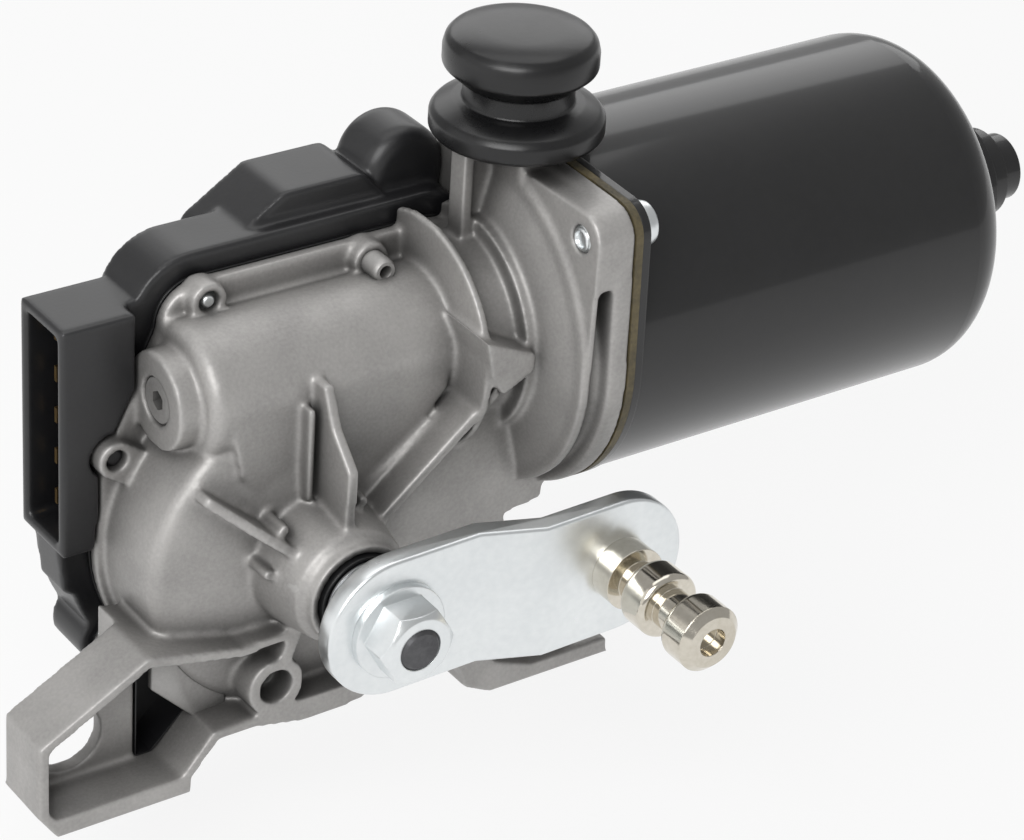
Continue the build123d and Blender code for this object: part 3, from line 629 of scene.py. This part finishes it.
def set_down(piece, place, towards=(0, 0, 1)):
    """Turns a piece's Z axis to a direction, moves it to its place (millimetres) and applies both."""
    turn = Vector(towards).to_track_quat("Z", "Y").to_matrix().to_4x4()
    piece.matrix_world = Matrix.Translation(Vector(place) * MM) @ turn
    choose(piece)
    bpy.ops.object.transform_apply(location=True, rotation=True, scale=True)


def join_pieces(pieces):
    bpy.ops.object.select_all(action="DESELECT")
    for piece in pieces:
        piece.select_set(True)
    bpy.context.view_layer.objects.active = pieces[0]
    bpy.ops.object.join()
    return pieces[0]


def add_grommet():
    """The rubber mount: a flange with a sloping top, a waist, and a crowned head rounded all over."""
    low, high = (corner[2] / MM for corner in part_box("mount_grommet"))
    waist = low + 6.3
    head = waist + 3.7
    piece = turned(
        [
            (14.8, low),
            (15.6, low + 0.9),
            (15.6, low + 3.6),
            (14.7, low + 4.7),
            (11.6, waist - 0.1),
            (9.9, waist),
            (9.9, head),
            (10.6, head + 0.2),
            (13.7, head + 3.0),
            (13.8, head + 3.6),
            (13.8, high - 3.9),
            (13.4, high - 2.3),
            (12.4, high - 1.2),
            (10.6, high - 0.55),
            (7.0, high - 0.2),
            (2.0, high - 0.05),
        ],
        96,
    )
    set_down(piece, (*GROMMET_AXIS, 0))
    bevel_edges(piece, 0.45, 20)
    finish_piece(piece, "rubber_mount", "mount_grommet", 50)


def thread_profile(outer, pitch, start, end, depth=0.45):
    """Steps of a screw thread drawn as close rings between two heights."""
    steps = []
    turns = int(abs(end - start) / pitch)
    step = pitch if end > start else -pitch
    for i in range(turns):
        height = start + i * step
        steps += [(outer - depth, height), (outer, height + step * 0.35), (outer, height + step * 0.6)]
    return steps + [(outer - depth, end)]


def add_flange_screws():
    """Pan-head screws with a six-cornered socket, a thread and a dished tip."""
    screws = []
    front, back = (corner[0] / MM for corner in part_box("flange_screws"))
    under = back - 3.6
    for side in (1, -1):
        screw = turned(
            [(1.3, front + 0.6), (1.6, front), (2.1, front + 0.3)]
            + thread_profile(2.5, 0.8, front + 0.5, under - 0.4)
            + [(2.5, under), (4.2, under), (4.2, under + 1.9)]
            + [(3.9, under + 2.9), (3.2, under + 3.5), (2.2, back)],
            48,
        )
        cut_socket(screw, 1.9, 1.8, back)
        across = side * FLANGE_SCREW_OUT
        set_down(screw, (0, MOTOR_AXIS[0] - across, MOTOR_AXIS[1] + across), (1, 0, 0))
        screws.append(screw)
    finish_piece(join_pieces(screws), "motor_screws", "flange_screws", 30)


def add_cover_screws():
    """Thread-forming screws with a six-cornered socket, and a blunt point in the housing's boss."""
    screws = []
    low, high = (corner[1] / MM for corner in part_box("cover_screws"))
    head = high - 2.6
    for x, z, point in COVER_SCREWS:
        screw = turned(
            [(0.9, point), (1.35, point + 0.5)]
            + thread_profile(1.95, 1.0, point + 1.2, head - 0.6)
            + [(1.5, head), (3.8, head), (3.8, head + 1.2), (3.4, head + 2), (2.4, high)],
            40,
        )
        cut_socket(screw, 1.7, 1.5, high)
        set_down(screw, (x, 0, z), (0, 1, 0))
        screws.append(screw)
    finish_piece(join_pieces(screws), "cover_fixings", "cover_screws", 30)


def add_adjusting_screw():
    """The set screw in the tunnel's end, staked flush, with a small six-cornered socket."""
    front, back = (corner[0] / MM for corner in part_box("adjusting_screw"))
    screw = turned([(4.4, -back), (4.4, -front - 0.3), (4.1, -front)])
    cut_socket(screw, 1.9, 1.6, -front)
    set_down(screw, (0, *MOTOR_AXIS), (-1, 0, 0))
    finish_piece(screw, "tunnel_set_screw", "adjusting_screw", 30, "cast_housing")


def add_stud_end():
    """The threaded end of the output shaft in the nut."""
    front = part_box("output_shaft")[0][1] / MM
    end = 0.1 - front
    thread = thread_profile(4.0, 0.9, end - 2.9, end - 0.7, 0.35)
    stud = turned(thread + [(3.95, end - 0.6), (3.3, end)])
    set_down(stud, (0, 0, 0), (0, -1, 0))
    finish_piece(stud, "stud_end", "output_shaft", 30, "dark_steel", False)


def box_between(low, high):
    """A box drawn from a cube between two corners in millimetres."""
    bpy.ops.object.select_all(action="DESELECT")
    bpy.ops.mesh.primitive_cube_add(size=1, location=[(a + b) / 2 * MM for a, b in zip(low, high)])
    piece = bpy.context.object
    piece.scale = [(b - a) * MM for a, b in zip(low, high)]
    bpy.ops.object.transform_apply(location=True, rotation=True, scale=True)
    return piece


def trim(piece, start, end):
    """Cuts away what lies left of the line from one (x, z) point to another."""
    (x0, z0), (x1, z1) = start, end
    plane = {"plane_co": (x0 * MM, 0, z0 * MM), "plane_no": (z0 - z1, 0, x1 - x0)}
    edit_whole(piece, bpy.ops.mesh.bisect, **plane, use_fill=True, clear_outer=True)


def clear_of_chamber(piece, radius):
    """Cuts away what lies within a radius (millimetres) of the output shaft."""
    along_y = (math.pi / 2, 0, 0)
    cut_cylinder(piece, vertices=128, radius=radius * MM, depth=0.2, rotation=along_y)


def add_arm_web():
    """The thin web between the drum's edge and the arm's lower wall, beside the deep box."""
    web = box_between((-31.2, 17.5, -28.8), (-16, 19, -14))
    trim(web, (-24.4, -26.7), (-28.2, -19.9))
    clear_of_chamber(web, radius=30.5)
    bevel_edges(web, 0.4, 30)
    finish_piece(web, "arm_web", "gear_housing", 40, stands_for=False)


def add_arm_shade_lining():
    """A black lining in the arm's deep box, thin walls and a floor open at the front: it stands for
    the black cover seen behind the box, and paints shade on the box's walls and floor.
    """
    shade_lining = box_between((-32.8, 20.3, -35.3), (-22.6, 27.4, -10))
    trim(shade_lining, (-22.85, -28.55), (-28.05, -34.75))
    clear_of_chamber(shade_lining, radius=31.6)
    choose(shade_lining)
    bpy.ops.object.mode_set(mode="EDIT")
    bpy.ops.mesh.select_all(action="DESELECT")
    bpy.ops.object.mode_set(mode="OBJECT")
    for face in shade_lining.data.polygons:
        face.select = face.normal.y < -0.9
    bpy.ops.object.mode_set(mode="EDIT")
    bpy.ops.mesh.delete(type="FACE")
    bpy.ops.object.mode_set(mode="OBJECT")
    apply_modifier(shade_lining, "SOLIDIFY", thickness=0.3 * MM, offset=-1)
    finish_piece(shade_lining, "arm_shade_lining", "rear_cover", 40, stands_for=False)


def add_screw_tube():
    """The hollow nipple that stands out of the second screw boss."""
    profile = [
        (2.3, -33.5),
        (2.3, -28.2),
        (2.2, -27.5),
        (1.9, -27.1),
        (1.25, -27.1),
        (1.1, -27.4),
        (1.05, -30),
    ]
    tube = turned(profile, 48)
    x, z, _ = COVER_SCREWS[1]
    set_down(tube, (x, 0, z), (0, -1, 0))
    finish_piece(tube, "boss_nipple", "gear_housing", 40, stands_for=False)


def add_pieces():
    cast_over("gear_housing", "die_cast_housing", grain=0.5, rounds=9, share=0.42)
    cast_over("rear_cover", "moulded_cover", grain=0.55, rounds=5, share=0.45)
    add_arm_web()
    add_arm_shade_lining()
    add_screw_tube()
    add_cover_screws()
    add_adjusting_screw()
    add_stud_end()
    stamped_over("crank_arm", "stamped_arm", width=0.6)
    stamped_over("crank_nut", "hub_nut", width=0.25, angle=25)
    add_grommet()
    add_flange_screws()


# Floor and light


def add_floor():
    """A pale floor that looks mostly plain white and shows a faint shadow."""
    bpy.ops.mesh.primitive_plane_add(size=6, location=(0, 0, FLOOR_Z))
    floor = bpy.context.object
    floor.name = "floor"
    material, tree, shader = new_material("pale_floor")
    set_inputs(shader, Base_Color=colour(0.8, 0.8, 0.8), Roughness=0.9)
    white = tree.nodes.new("ShaderNodeEmission")
    white.inputs["Strength"].default_value = 1
    share = math_node(tree, "MULTIPLY", rays_seen(tree, 1), FLOOR_SHOWN)
    mix_shaders(tree, share, shader, white, "Material Output")
    floor.data.materials.append(material)


def add_lamp(name, place, size, power):
    data = bpy.data.lights.new(name, "AREA")
    data.shape = "RECTANGLE"
    data.size, data.size_y = size
    data.energy = power
    lamp = bpy.data.objects.new(name, data)
    lamp.location = place
    aim = Vector(PART_MIDDLE) - Vector(place)
    lamp.rotation_euler = aim.to_track_quat("-Z", "Y").to_euler()
    bpy.context.scene.collection.objects.link(lamp)


def add_light():
    """A white world that lights the part less than it shows, and the lamps."""
    world = bpy.data.worlds.new("studio")
    bpy.context.scene.world = world
    world.use_nodes = True
    tree = world.node_tree
    lit = tree.nodes["Background"]
    set_inputs(lit, Color=colour(1, 1, 1), Strength=WORLD_LIGHT)
    shown = tree.nodes.new("ShaderNodeBackground")
    set_inputs(shown, Color=colour(1, 1, 1))
    mix_shaders(tree, rays_seen(tree, WORLD_MIRRORED), lit, shown, "World Output")
    for lamp in LAMPS:
        add_lamp(*lamp)


make_materials()
dress_nodes()
add_pieces()
add_camera()
add_floor()
add_light()

scene = bpy.context.scene
scene.view_settings.view_transform = "Standard"
